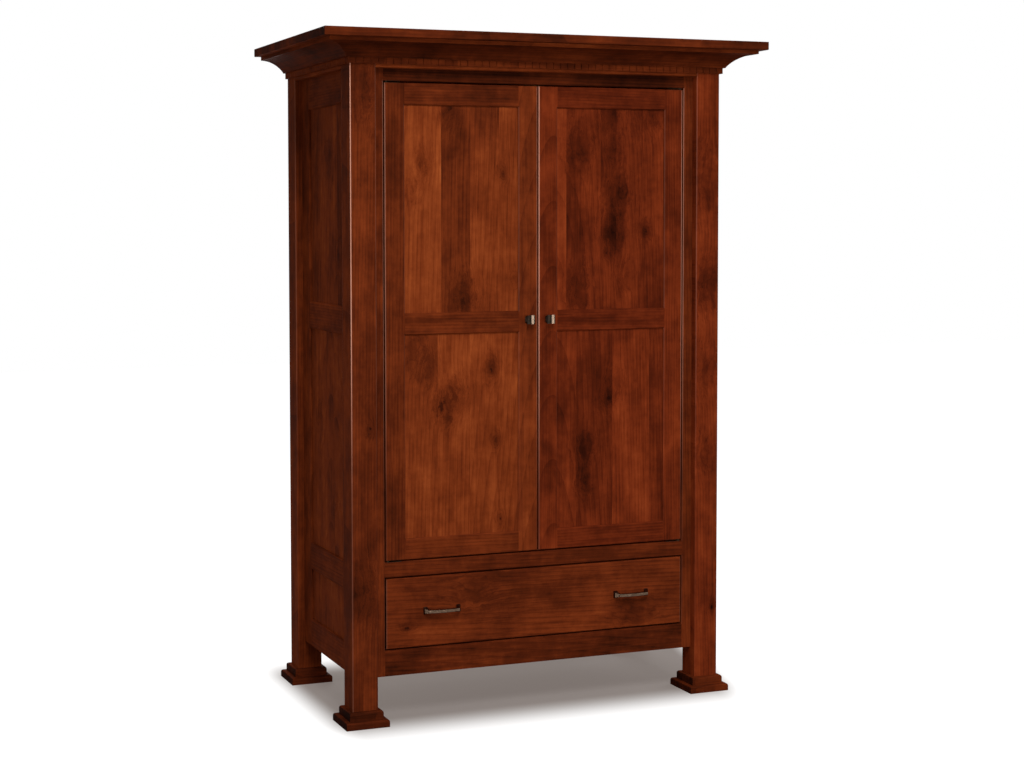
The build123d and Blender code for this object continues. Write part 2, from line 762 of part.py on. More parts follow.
# Drawer slides: outer channel on a block, middle channel, inner channel on the drawer side
slide_y = (face_back + slide_setback, face_back + slide_setback + slide_length)
slide_z = grown((slide_centre_height, slide_centre_height), slide_height / 2)
block_z = grown((slide_centre_height, slide_centre_height), slide_block_height / 2)
nest_step = slide_wall + slide_clearance
drawer_side_x = opening_half - slide_space


def channel(x, z, web_outside):
    """A C-shaped channel along the drawer, its web on the outer or the inner side."""
    solid = block(x, slide_y, z)
    hollow_x = (x[0], x[1] - slide_wall) if web_outside else (x[0] + slide_wall, x[1])
    return solid - block(hollow_x, slide_y, grown(z, -slide_wall))


slide_outer = channel((drawer_side_x + 3 * slide_lip, opening_half), slide_z, True)
middle_z = grown(slide_z, -nest_step)
slide_middle = channel((drawer_side_x + 2 * slide_lip, opening_half - nest_step), middle_z, True)
inner_z = grown(middle_z, -nest_step)
slide_inner = channel((drawer_side_x, opening_half - 2 * nest_step), inner_z, False)
slide_block = block((opening_half, side_inner), (front_post_back, back_post_front), block_z)
save("slide_blocks", slide_block, other_side(slide_block))
save("slide_outer", slide_outer, other_side(slide_outer))
save("slide_middle", slide_middle, other_side(slide_middle))
save("slide_inner", slide_inner, other_side(slide_inner))

# Drawer box: sides tongued into the front, back let into the sides, bottom in grooves
front_x = grown((-opening_half, opening_half), -reveal)
front_z = (drawer_opening_bottom + reveal, drawer_opening_top - reveal)
drawer_front = front_eased(block(front_x, face_y, front_z), drawer_edge_round)
side_z = (drawer_side_bottom, drawer_side_top)
side_y = (face_back, face_back + drawer_length)
drawer_side_inner = drawer_side_x - drawer_side_thickness
tongue_x = (drawer_side_inner, drawer_side_inner + drawer_tongue_thickness)
bottom_z = (drawer_side_bottom + drawer_bottom_lift, drawer_side_bottom + drawer_bottom_lift + drawer_bottom_thickness)
bottom_groove_z = grown(bottom_z, panel_clearance)
drawer_back_y = (side_y[1] - 2 * drawer_side_thickness, side_y[1] - drawer_side_thickness)

drawer_side = block((drawer_side_inner, drawer_side_x), side_y, side_z)
drawer_side += block(tongue_x, (face_back - drawer_tongue_length, face_back), side_z)
drawer_side -= block((drawer_side_inner, drawer_side_inner + drawer_groove_depth), side_y, bottom_groove_z)
dado_x = (drawer_side_inner, drawer_side_inner + drawer_groove_depth)
drawer_side -= block(dado_x, grown(drawer_back_y, glue_clearance), side_z)

slot_y = (face_back - drawer_tongue_length - tenon_end_gap, face_back)
slot = block(grown(tongue_x, glue_clearance), slot_y, grown(side_z, glue_clearance))
drawer_front -= slot
drawer_front -= other_side(slot)
bottom_slot_y = (face_back - drawer_groove_depth, face_back)
drawer_front -= block((-drawer_side_inner, drawer_side_inner), bottom_slot_y, bottom_groove_z)

back_half = drawer_side_inner + drawer_groove_depth - tenon_end_gap
drawer_back = block((-back_half, back_half), drawer_back_y, (bottom_z[1], side_z[1]))
bottom_y = (face_back - drawer_groove_depth + tenon_end_gap, drawer_back_y[1])
drawer_bottom = block((-back_half, back_half), bottom_y, bottom_z)
drawer_bottom -= block((drawer_side_inner, back_half), (bottom_y[0], face_back), bottom_z)
drawer_bottom -= block((-back_half, -drawer_side_inner), (bottom_y[0], face_back), bottom_z)

# Bar pulls: a bowed bar on two arms that flare out towards the drawer front and lean inward
hole_half = pull_hole_spacing / 2
arm_top = pull_projection - pull_bow - pull_bar_depth / 2
bar_half = hole_half - pull_lean + pull_arm_width / 2


def pull_arm(base_x, inward):
    """One arm of a pull, from its flared base on the drawer front to the bar."""
    sections = (
        (0.0, base_x, pull_base_width, pull_base_height),
        (pull_flare_depth, base_x + inward * pull_flare_lean, pull_flare_width, pull_flare_height),
        (arm_top, base_x + inward * pull_lean, pull_arm_width, pull_arm_height),
    )
    wires = []
    for distance, middle, width, height in sections:
        across = grown((middle, middle), width / 2)
        upward = grown((pull_height, pull_height), height / 2)
        wires.append(rectangle_wire(across, face_front - distance, upward))
    return Solid.make_loft(wires, ruled=True)


bar_z = grown((pull_height, pull_height), pull_bar_height / 2)
bar_ends = (pull_offset - bar_half, pull_offset + bar_half)
bar_front = face_front - pull_projection
bar_arcs = []
for depth in (bar_front, bar_front + pull_bar_depth):
    bar_points = [(bar_ends[0], depth + pull_bow), (pull_offset, depth), (bar_ends[1], depth + pull_bow)]
    bar_arcs.append(ThreePointArc(*bar_points))
bar_closers = [Line(bar_arcs[0] @ end, bar_arcs[1] @ end) for end in (0, 1)]
bar_plan = make_face([*bar_arcs, *bar_closers])
pull = extrude(Pos(0, 0, bar_z[0]) * bar_plan, amount=pull_bar_height, dir=(0, 0, 1))
pull = fillet(pull.edges().filter_by(GeomType.CIRCLE), pull_edge_round)
pull_screws = []
for sign in (-1, 1):
    hole_x = pull_offset + sign * hole_half
    pull += pull_arm(hole_x, -sign)
    pull_screws.append(machine_screw(hole_x, pull_height, knob_screw_depth))
    drawer_front -= machine_screw_hole(hole_x, pull_height, 0.0)
    drawer_front -= other_side(machine_screw_hole(hole_x, pull_height, 0.0))
for sign in (-1, 1):
    pull -= machine_screw_hole(pull_offset + sign * hole_half, pull_height, knob_screw_depth)

save("drawer_front", drawer_front)
save("drawer_sides", drawer_side, other_side(drawer_side))
save("drawer_back", drawer_back)
save("drawer_bottom", drawer_bottom)
save("drawer_pulls", pull, other_side(pull))
save("pull_screws", *pull_screws, *[other_side(screw) for screw in pull_screws])
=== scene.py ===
"""Looks of the armoire: stained knotty wood, dark pewter hardware, a pale studio floor and the camera."""
import math

import bpy
from mathutils import Matrix, Vector


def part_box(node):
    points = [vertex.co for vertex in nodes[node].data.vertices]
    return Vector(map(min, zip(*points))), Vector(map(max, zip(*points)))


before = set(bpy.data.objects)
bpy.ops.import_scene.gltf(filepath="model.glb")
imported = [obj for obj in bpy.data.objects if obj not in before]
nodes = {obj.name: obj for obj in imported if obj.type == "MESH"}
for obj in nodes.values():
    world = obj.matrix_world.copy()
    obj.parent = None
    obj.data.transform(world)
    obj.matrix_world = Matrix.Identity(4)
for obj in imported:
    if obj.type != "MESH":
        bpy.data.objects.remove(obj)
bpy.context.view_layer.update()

# Stain colours from the darkest late wood to the lightest streaks: place on the ramp, linear colour
STAIN = (
    (0.00, (0.010, 0.0026, 0.0014)),
    (0.20, (0.034, 0.0066, 0.0024)),
    (0.40, (0.080, 0.0135, 0.0038)),
    (0.60, (0.150, 0.0260, 0.0062)),
    (0.80, (0.240, 0.0480, 0.0110)),
    (1.00, (0.360, 0.0900, 0.0220)),
)
RED_STAIN_GREEN = 0.86
RED_STAIN_BLUE = 0.92
RED_STAIN = tuple((share, (red, RED_STAIN_GREEN * green, RED_STAIN_BLUE * blue))
                  for share, (red, green, blue) in STAIN)
CLEAR_LACQUER = (
    (0.00, (0.075, 0.0250, 0.0085)),
    (0.35, (0.240, 0.0920, 0.0340)),
    (0.65, (0.390, 0.1720, 0.0700)),
    (1.00, (0.540, 0.2750, 0.1250)),
)
WOOD_SPECULAR = 0.002

# Marks in the wood: repeats per metre across, along and into a board, then the noise's detail and roughness
WANDER = (4.0, 1.3, 1.0, 1.0, 0.5)
SMOKE = (46.0, 26.0, 1.0, 4.0, 0.62)
BROAD_STREAKS = (46.0, 1.6, 46.0, 3.0, 0.55)
FINE_STREAKS = (210.0, 4.5, 210.0, 3.0, 0.65)
BLOTCHES = (13.0, 6.5, 13.0, 4.0, 0.62)
MOTTLE = (34.0, 42.0, 34.0, 3.0, 0.6)
DRIFT = (2.5, 1.3, 1.0, 1.0, 0.5)
PORES = (700.0, 18.0, 700.0, 1.0, 0.5)
PORE_LIMITS = (0.10, 0.24)

# How far each mark changes the tone, the roughness and the relief
TONE_WEIGHTS = {"broad": 0.24, "fine": 0.34, "blotch": 0.66, "mottle": 0.20, "drift": 0.24,
                "late_wood": -0.10, "pores": -0.05}
ROUGH_WEIGHTS = {"fine": 0.16, "pores": 0.10, "blotch": 0.08}
RELIEF_WEIGHTS = {"fine": 0.5, "pores": -0.7, "late_wood": 0.15}
WOOD_ROUGHNESS = 0.55
WOOD_RELIEF = {"Strength": 0.25, "Distance": 0.0004}

# Growth rings, in metres from the middle of the tree
RING_WIDTH = 0.0085
RING_TAPER = 0.045
RING_WANDER = 0.06
RING_ASIDE = 0.16
RING_DEEP = 0.05
LATE_WOOD_POWER = 4.0
GRAIN_WANDER = 0.03

# Each board is cut from another part of the tree: how far apart, and the numbers that tell boards apart
BOARD_SHIFT_ALONG = 9.0
BOARD_SHIFT_DEEP = 2.0
BOARD_SEED_START = 0.37
BOARD_SEED_STEP = 0.618
ROW_SEED_STEP = 1.31
SEED_SPREAD = 17.0

# Knots: how they stretch along the grain, fray, fade outwards, and bend and darken the wood
KNOT_STRETCH = 0.62
KNOT_FRAY = 2.2
KNOT_FADE = -0.9
KNOT_SQUEEZE = 0.8
KNOT_SWIRL = 0.012
KNOT_RING_PUSH = 0.030
KNOT_CORE_LIMITS = (0.30, 0.02)
CLOUD_DARKER = 0.21
CORE_DARKER = 0.30

# End grain is darker, where a surface faces along the grain
END_GRAIN_DARKER = 0.26
END_GRAIN_FACING = (0.6, 0.9)

# Eased upright edges are lighter, partly wear and partly a painted highlight: fully above the second height,
# and by the low share below the first
EDGE_WEAR_AND_HIGHLIGHT_COLOUR = (0.63, 0.293, 0.198, 1.0)
EASED_LIMITS = (0.04, 0.30)
EDGE_HIGHLIGHT_FADE = (0.55, 1.25)
EDGE_HIGHLIGHT_LOW_SHARE = 0.12

# Metal: fine brushed lines, cloudy patina and bright edges
METAL_LINES = (30.0, 900.0, 900.0, 2.0, 0.5)
METAL_CLOUDS = (110.0, 110.0, 110.0, 3.0, 0.5)
METAL_TONE = 0.35
METAL_TONE_WEIGHTS = {"cloud": 0.9, "lines": 0.25}
METAL_ROUGH_WEIGHTS = {"lines": 0.12, "cloud": 0.18}
METAL_RELIEF = {"Strength": 0.15, "Distance": 0.0002}
METAL_EDGE_RADIUS = 0.0015
METAL_EDGE_SAMPLES = 4
METAL_EDGE_LIMITS = (0.995, 0.80)
METAL_EDGE_LIGHTER = 0.4

# The case's front and side planes, where the crown's mitres start
CASE_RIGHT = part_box("post_front_right")[1].x
CASE_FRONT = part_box("post_front_left")[0].y
# A height above every piece
NO_LIMIT = 9.0


class Finish:
    """A material whose node tree is put together by short calls."""

    def __init__(self, name):
        self.material = bpy.data.materials.new(name)
        self.material.use_nodes = True
        self.tree = self.material.node_tree
        self.tree.nodes.clear()
        self.shader = self.put("BsdfPrincipled")
        output = self.put("OutputMaterial")
        self.feed(output.inputs["Surface"], self.shader.outputs["BSDF"])

    def put(self, kind, inputs=None, **settings):
        """Adds a node, with its settings and what goes into its sockets."""
        node = self.tree.nodes.new("ShaderNode" + kind)
        for key, value in settings.items():
            setattr(node, key, value)
        for key, value in (inputs or {}).items():
            self.feed(node.inputs[key], value)
        return node

    def feed(self, socket, value):
        """Links a socket to another node's output, or sets it to a plain value."""
        if isinstance(value, bpy.types.NodeSocket):
            self.tree.links.new(value, socket)
        else:
            socket.default_value = value

    def compute(self, operation, *values, clamp=False):
        """One step of arithmetic on sockets and plain numbers."""
        node = self.put("Math", operation=operation, use_clamp=clamp)
        for socket, value in zip(node.inputs, values):
            self.feed(socket, value)
        return node.outputs[0]

    def add(self, *values):
        total = values[0]
        for value in values[1:]:
            total = self.compute("ADD", total, value)
        return total

    def less(self, a, b):
        return self.compute("SUBTRACT", a, b)

    def times(self, a, b):
        return self.compute("MULTIPLY", a, b)

    def weigh(self, start, marks, weights):
        """Adds marks to a start, each times its weight."""
        return self.add(start, *[self.times(marks[key], weight) for key, weight in weights.items()])

    def between(self, value, low, high, result_low=0.0, result_high=1.0):
        """Goes smoothly from one result to the other as the value goes from low to high."""
        numbers = {"From Min": low, "From Max": high, "To Min": result_low, "To Max": result_high}
        node = self.put("MapRange", {"Value": value, **numbers}, interpolation_type="SMOOTHSTEP")
        return node.outputs["Result"]

    def choose(self, factor, off, on):
        """Mixes two numbers. The mix node has its number sockets at 2 and 3."""
        return self.put("Mix", {0: factor, 2: off, 3: on}, data_type="FLOAT").outputs[0]

    def blend(self, factor, off, on):
        """Mixes two colours. The mix node has its colour sockets at 6 and 7."""
        return self.put("Mix", {0: factor, 6: off, 7: on}, data_type="RGBA").outputs[2]

    def noise(self, x, y, z, marks):
        """Noise around zero, from about -0.5 to 0.5. marks: repeats on X, Y and Z, detail and roughness."""
        *repeats, detail, roughness = marks
        scaled = [self.times(value, rate) for value, rate in zip((x, y, z), repeats)]
        vector = self.put("CombineXYZ", dict(zip("XYZ", scaled))).outputs[0]
        inputs = {"Vector": vector, "Scale": 1.0, "Detail": detail, "Roughness": roughness}
        return self.less(self.put("TexNoise", inputs).outputs[0], 0.5)

    def random(self, number, salt):
        """A number from 0 to 1 that is fixed for its input."""
        shifted = self.compute("MULTIPLY_ADD", number, SEED_SPREAD, salt)
        return self.put("TexWhiteNoise", {"W": shifted}, noise_dimensions="1D").outputs["Value"]

    def ramp(self, value, stops, interpolation="LINEAR"):
        """Colours along a ramp: each stop has its place and its colour."""
        node = self.put("ValToRGB", {"Fac": value})
        band = node.color_ramp
        band.interpolation = interpolation
        band.elements[0].position = stops[0][0]
        band.elements[1].position = stops[-1][0]
        for position, _ in stops[1:-1]:
            band.elements.new(position)
        for element, (_, colour) in zip(band.elements, stops):
            element.color = (*colour, 1.0)
        return node.outputs["Color"]

    def steps(self, coordinate, low, high, boards):
        """Tone and seed of boards side by side along a coordinate: each has its upper edge and its tone."""
        seeds = [(BOARD_SEED_START + BOARD_SEED_STEP * count) % 1.0 for count in range(len(boards))]
        if len(boards) == 1:
            return boards[0][1], seeds[0]
        share = self.compute("DIVIDE", self.less(coordinate, low), high - low)
        starts = [0.0] + [(edge - low) / (high - low) for edge, _ in boards[:-1]]
        stops = [(start, (tone, seed, 0.0)) for start, (_, tone), seed in zip(starts, boards, seeds)]
        split = self.put("SeparateColor", {"Color": self.ramp(share, stops, "CONSTANT")})
        return split.outputs[0], split.outputs[1]

    def coordinates(self, mitred=False):
        """The row frame's X, Y and Z at each point.

        Where a mitred piece runs along the side, X and Y change places.
        """
        split = self.put("SeparateXYZ", {"Vector": self.put("TexCoord").outputs["Object"]})
        x, y, z = split.outputs
        if not mitred:
            return {"X": x, "Y": y, "Z": z}
        past_side = self.less(self.compute("ABSOLUTE", x), CASE_RIGHT)
        past_front = self.less(CASE_FRONT, y)
        on_side = self.compute("GREATER_THAN", past_side, past_front)
        return {"X": self.choose(on_side, x, y), "Y": self.choose(on_side, y, x), "Z": z}

    def facing(self):
        """How far a surface faces along X, Y and Z of its own piece."""
        split = self.put("SeparateXYZ", {"Vector": self.put("TexCoord").outputs["Normal"]})
        return {axis: self.compute("ABSOLUTE", split.outputs[axis]) for axis in "XYZ"}

    def eased(self):
        """1 where an upright edge is rounded or bevelled, 0 on the faces beside it."""
        facing = self.facing()
        return self.between(self.times(facing["X"], facing["Y"]), *EASED_LIMITS)

    def edges(self):
        """1 beside the edges of a small piece of metal, 0 on its flats."""
        rounded = self.put("Bevel", {"Radius": METAL_EDGE_RADIUS}, samples=METAL_EDGE_SAMPLES)
        flat = self.put("NewGeometry")
        normals = {0: rounded.outputs["Normal"], 1: flat.outputs["Normal"]}
        agreement = self.put("VectorMath", normals, operation="DOT_PRODUCT").outputs["Value"]
        return self.between(agreement, *METAL_EDGE_LIMITS)

    def relief(self, height, settings):
        """Bump from a height."""
        bump = self.put("Bump", {"Height": height, **settings})
        self.feed(self.shader.inputs["Normal"], bump.outputs["Normal"])


def grain_round_knots(finish, grain, width, length, smoke, knots):
    """Swells and swirls the grain round the knots. Gives it, the knots' clouds and their cores."""
    clouds, cores = 0.0, 0.0
    for knot_across, knot_along, size, cloud, core in knots:
        aside = finish.less(width, knot_across)
        ahead = finish.times(finish.less(length, knot_along), KNOT_STRETCH)
        distance = finish.compute("SQRT", finish.add(finish.times(aside, aside), finish.times(ahead, ahead)))
        share = finish.compute("MULTIPLY_ADD", smoke, KNOT_FRAY, finish.compute("DIVIDE", distance, size))
        swell = finish.compute("EXPONENT", finish.times(finish.times(share, share), KNOT_FADE))
        grain = finish.less(grain, finish.times(finish.times(aside, swell), KNOT_SQUEEZE))
        grain = finish.add(grain, finish.times(finish.times(smoke, swell), KNOT_SWIRL))
        clouds = finish.compute("MULTIPLY_ADD", swell, cloud, clouds)
        if core:
            cores = finish.add(cores, finish.between(share, *KNOT_CORE_LIMITS, 0.0, core))
    return grain, clouds, cores


def rings(finish, grain, run, wander, board, clouds):
    """Late wood of the growth rings: 1 at the end of each ring, 0 where the next one starts."""
    aside = finish.times(finish.less(finish.random(board, 5.0), 0.5), RING_ASIDE)
    across = finish.less(grain, finish.compute("MULTIPLY_ADD", wander, RING_WANDER, aside))
    deep = finish.add(finish.times(run, RING_TAPER), finish.times(finish.random(board, 7.0), RING_DEEP))
    radius = finish.compute("SQRT", finish.add(finish.times(across, across), finish.times(deep, deep)))
    radius = finish.compute("MULTIPLY_ADD", clouds, KNOT_RING_PUSH, radius)
    ring = finish.compute("FRACT", finish.compute("DIVIDE", radius, RING_WIDTH))
    return finish.compute("POWER", ring, LATE_WOOD_POWER)


def wood(name, along, across, rows, knots=(), seed=0.0, colours=STAIN, mitred=False, wear_and_highlight=0.0,
         inner_edges=None):
    """Wood whose grain runs along one axis, glued from boards across another.

    rows holds the panels one above the other: each has its upper limit on Z, and its boards.
    knots are (across, along, size, darkness of the cloud, darkness of the core), in metres.
    The last two arguments say how far the eased upright edges are lightened, partly wear and partly a painted
    highlight, and (middle, reach, share): nearer to the middle than reach, the edges lie beside a panel or
    another piece, and that share is used instead.
    """
    finish = Finish(name)
    place = finish.coordinates(mitred)
    depth = ({"X", "Y", "Z"} - {along, across}).pop()
    length, width, thick = place[along], place[across], place[depth]

    tone, board = finish.steps(width, *rows[0][1])
    for count, ((limit_below, _), (_, boards)) in enumerate(zip(rows, rows[1:]), 1):
        above = finish.compute("GREATER_THAN", place["Z"], limit_below)
        next_tone, next_board = finish.steps(width, *boards)
        tone = finish.choose(above, tone, next_tone)
        board = finish.choose(above, board, finish.add(next_board, ROW_SEED_STEP * count))
    board = finish.add(board, seed)
    run = finish.add(length, finish.times(finish.random(board, 0.0), BOARD_SHIFT_ALONG))
    deep = finish.add(thick, finish.times(finish.random(board, 3.0), BOARD_SHIFT_DEEP))

    wander = finish.noise(width, run, deep, WANDER)
    smoke = finish.noise(width, run, deep, SMOKE)
    grain = finish.compute("MULTIPLY_ADD", wander, GRAIN_WANDER, width)
    grain, clouds, cores = grain_round_knots(finish, grain, width, length, smoke, knots)
    fine_pores = finish.noise(grain, run, deep, PORES)
    marks = {
        "late_wood": rings(finish, grain, run, wander, board, clouds),
        "broad": finish.noise(grain, run, deep, BROAD_STREAKS),
        "fine": finish.noise(grain, run, deep, FINE_STREAKS),
        "blotch": finish.noise(grain, run, deep, BLOTCHES),
        "mottle": finish.noise(width, run, deep, MOTTLE),
        "drift": finish.noise(width, run, deep, DRIFT),
        "pores": finish.between(fine_pores, *PORE_LIMITS),
    }

    value = finish.weigh(tone, marks, TONE_WEIGHTS)
    darker = finish.add(finish.times(clouds, CLOUD_DARKER), finish.times(cores, CORE_DARKER))
    value = finish.less(value, darker)
    if not mitred:
        end_grain = finish.between(finish.facing()[along], *END_GRAIN_FACING)
        value = finish.less(value, finish.times(end_grain, END_GRAIN_DARKER))
    colour = finish.ramp(value, colours)
    # Eased upright edges lightened: partly wear, partly a painted highlight, fainter towards the floor
    if wear_and_highlight:
        strength = wear_and_highlight
        if inner_edges:
            middle, reach, inner_share = inner_edges
            off_middle = finish.compute("ABSOLUTE", finish.less(width, middle))
            strength = finish.choose(finish.compute("LESS_THAN", off_middle, reach), wear_and_highlight, inner_share)
        strength = finish.times(strength, finish.between(place["Z"], *EDGE_HIGHLIGHT_FADE, EDGE_HIGHLIGHT_LOW_SHARE, 1.0))
        colour = finish.blend(finish.times(finish.eased(), strength), colour, EDGE_WEAR_AND_HIGHLIGHT_COLOUR)
    finish.feed(finish.shader.inputs["Base Color"], colour)
    finish.feed(finish.shader.inputs["Roughness"], finish.weigh(WOOD_ROUGHNESS, marks, ROUGH_WEIGHTS))
    finish.relief(finish.weigh(0.0, marks, RELIEF_WEIGHTS), WOOD_RELIEF)
    finish.shader.inputs["Specular IOR Level"].default_value = WOOD_SPECULAR
    return finish.material


def metal(name, dark, light, rough):
    """Metal with a fine brushed grain, cloudy patina and edges rubbed bright."""
    finish = Finish(name)
    place = finish.coordinates()
    marks = {
        "lines": finish.noise(place["X"], place["Y"], place["Z"], METAL_LINES),
        "cloud": finish.noise(place["X"], place["Y"], place["Z"], METAL_CLOUDS),
    }
    tone = finish.weigh(METAL_TONE, marks, METAL_TONE_WEIGHTS)
    share = finish.compute("ADD", tone, finish.times(finish.edges(), METAL_EDGE_LIGHTER), clamp=True)
    finish.feed(finish.shader.inputs["Base Color"], finish.ramp(share, ((0.0, dark), (1.0, light))))
    finish.feed(finish.shader.inputs["Roughness"], finish.weigh(rough, marks, METAL_ROUGH_WEIGHTS))
    finish.relief(marks["lines"], METAL_RELIEF)
    finish.shader.inputs["Metallic"].default_value = 1.0
    return finish.material


def dress(material, *names):
    """Gives CAD nodes a finish."""
    for name in names:
        slots = nodes[name].data.materials
        slots.clear()
        slots.append(material)


def one_row(low, high, *boards):
    """Boards side by side in a single panel: each has its upper edge and its tone."""
    return ((NO_LIMIT, (low, high, boards)),)


def stacked(*rows):
    """Single boards one above the other: each has its upper limit on Z and its tone."""
    return tuple((limit, (0.0, 1.0, ((1.0, tone),))) for limit, tone in rows)


def one_board(tone):
    """A single board, with no glue line."""
    return stacked((NO_LIMIT, tone))


# Posts
POST_EDGE_ZONE = 0.03
POST_INNER_WEAR_AND_HIGHLIGHT = 0.10
# On the front left post the cloud at 1.79 m, just below the crown, is painted shade; the rest are knots and
# clouds in the wood
LEFT_POST_KNOTS_AND_SHADE = (
    (-0.525, 0.843, 0.014, 0.8, 1.0), (-0.545, 1.790, 0.050, 0.6, 0.0), (-0.560, 0.390, 0.045, 0.4, 0.0),
)
RIGHT_POST_KNOTS = (
    (0.566, 0.256, 0.012, 0.8, 1.0), (0.545, 1.550, 0.055, 0.5, 0.0), (0.562, 1.230, 0.042, 0.8, 0.0),
    (0.550, 0.970, 0.040, 0.8, 0.0), (0.536, 0.717, 0.032, 0.6, 0.0),
)
# The fifth number lightens the eased upright edges, partly wear and partly a painted highlight, most on the
# front left post
POSTS = (
    ("post_front_left", 0.47, LEFT_POST_KNOTS_AND_SHADE, 0.0, 0.80, STAIN),
    ("post_front_right", 0.58, RIGHT_POST_KNOTS, 2.1, 0.13, RED_STAIN),
    ("post_back_left", 0.50, (), 4.2, 0.10, STAIN),
    ("post_back_right", 0.50, (), 6.3, 0.10, STAIN),
)
for name, tone, knots, seed, wear_and_highlight, colours in POSTS:
    dress(wood(name + "_wood", "Z", "X", one_board(tone), knots, seed, colours, wear_and_highlight=wear_and_highlight,
               inner_edges=(0.0, CASE_RIGHT - POST_EDGE_ZONE, POST_INNER_WEAR_AND_HIGHLIGHT)), name)

# Feet, face frame and frieze
FEET = (("foot_front_left", 0.33, 20.0), ("foot_front_right", 0.43, 21.7),
        ("foot_back_left", 0.36, 23.4), ("foot_back_right", 0.36, 25.1))
for name, tone, seed in FEET:
    dress(wood(name + "_wood", "X", "Y", one_board(tone), seed=seed), name)
FACE_STILE_BOARDS = one_row(-0.6, 0.6, (0.0, 0.44), (0.6, 0.49))
# The face stiles' eased edges are lightened, partly wear and partly a painted highlight
dress(wood("face_stile_wood", "Z", "X", FACE_STILE_BOARDS, wear_and_highlight=0.30), "face_stiles")
# The header rail's dark tone is partly its own and partly painted shade under the crown
for name, tone, seed in (("header_rail", 0.23, 30.0), ("mid_rail", 0.45, 31.3), ("bottom_rail", 0.34, 32.6)):
    dress(wood(name + "_wood", "X", "Z", one_board(tone), seed=seed), name)
dress(wood("frieze_wood", "X", "Z", one_board(0.59), seed=36.0, mitred=True), "frieze")

# Crown: the cove, darker partly with painted shade, with the fillet above it lighter as a painted light, the
# dentil strip and the top board
FILLET_HEIGHT = 0.0105
FILLET_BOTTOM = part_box("crown_cove")[1].z - FILLET_HEIGHT
# Below the fillet the cove is darker, partly painted shade; the fillet is lighter, a painted light where the
# top board's overhang shades it
COVE_AND_FILLET_PAINTED_TONES = stacked((FILLET_BOTTOM, 0.37), (NO_LIMIT, 0.52))
dress(wood("cove_wood", "X", "Y", COVE_AND_FILLET_PAINTED_TONES, seed=37.0, mitred=True), "crown_cove")
dress(wood("dentil_wood", "X", "Y", one_board(0.46), seed=37.7, mitred=True), "crown_dentil")
TOP_BOARDS = one_row(-0.4, 0.4, (-0.24, 0.38), (-0.10, 0.50), (0.06, 0.57), (0.20, 0.49), (0.4, 0.54))
dress(wood("top_board_wood", "X", "Y", TOP_BOARDS, seed=38.0), "top_board")

# Side frames and their panels
SIDE_STILE_BOARDS = one_row(-0.2, 0.3, (0.04, 0.50), (0.3, 0.47))
SIDE_RAIL_BOARDS = one_row(0.0, 2.0, (0.29, 0.50), (0.75, 0.46), (1.4, 0.49), (2.0, 0.45))
SIDE_BOARDS = (
    (0.407, (-0.13, 0.21, ((-0.05, 0.55), (0.06, 0.60), (0.14, 0.52), (0.21, 0.57)))),
    (1.1415, (-0.13, 0.21, ((-0.02, 0.58), (0.05, 0.52), (0.15, 0.61), (0.21, 0.54)))),
    (NO_LIMIT, (-0.13, 0.21, ((-0.06, 0.46), (0.02, 0.55), (0.11, 0.52), (0.21, 0.49)))),
)
SIDE_KNOTS = (
    (0.02, 1.62, 0.028, 0.7, 0.0), (-0.07, 1.33, 0.022, 0.6, 0.5), (0.12, 0.84, 0.030, 0.8, 0.0),
    (-0.03, 0.60, 0.020, 0.6, 0.6),
)
for count, side in enumerate(("side_left", "side_right")):
    dress(wood(side + "_stile_wood", "Z", "Y", SIDE_STILE_BOARDS, seed=40.0 + count), side + "_stiles")
    dress(wood(side + "_rail_wood", "Y", "Z", SIDE_RAIL_BOARDS, seed=43.0 + count), side + "_rails")
    dress(wood(side + "_panel_wood", "Z", "Y", SIDE_BOARDS, SIDE_KNOTS, seed=46.0 + count), side + "_panels")

# Doors: boards, and knots where the photograph has its most striking ones
LEFT_BOARDS = (
    (1.1325, (-0.43, -0.05, ((-0.312, 0.62), (-0.212, 0.68), (-0.13, 0.63), (-0.05, 0.65)))),
    (NO_LIMIT, (-0.43, -0.05, ((-0.300, 0.69), (-0.211, 0.46), (-0.12, 0.61), (-0.05, 0.64)))),
)
LEFT_KNOTS = (
    (-0.275, 1.741, 0.024, 0.9, 0.5), (-0.109, 1.560, 0.014, 0.8, 1.0), (-0.363, 1.588, 0.022, 1.0, 0.3),
    (-0.384, 1.521, 0.020, 0.9, 0.0), (-0.386, 1.059, 0.036, 0.7, 0.0), (-0.334, 0.991, 0.026, 0.6, 0.0),
    (-0.234, 1.212, 0.034, 1.1, 0.0), (-0.067, 1.256, 0.016, 0.7, 0.0), (-0.146, 0.995, 0.020, 0.9, 1.0),
    (-0.297, 0.894, 0.028, 0.9, 0.6), (-0.262, 0.918, 0.030, 0.8, 0.4), (-0.130, 0.791, 0.013, 0.8, 0.3),
    (-0.118, 0.560, 0.012, 0.7, 0.8),
)
RIGHT_BOARDS = (
    (1.1325, (0.05, 0.43, ((0.125, 0.56), (0.244, 0.50), (0.366, 0.60), (0.43, 0.46)))),
    (NO_LIMIT, (0.05, 0.43, ((0.092, 0.62), (0.203, 0.50), (0.256, 0.48), (0.342, 0.56), (0.43, 0.53)))),
)
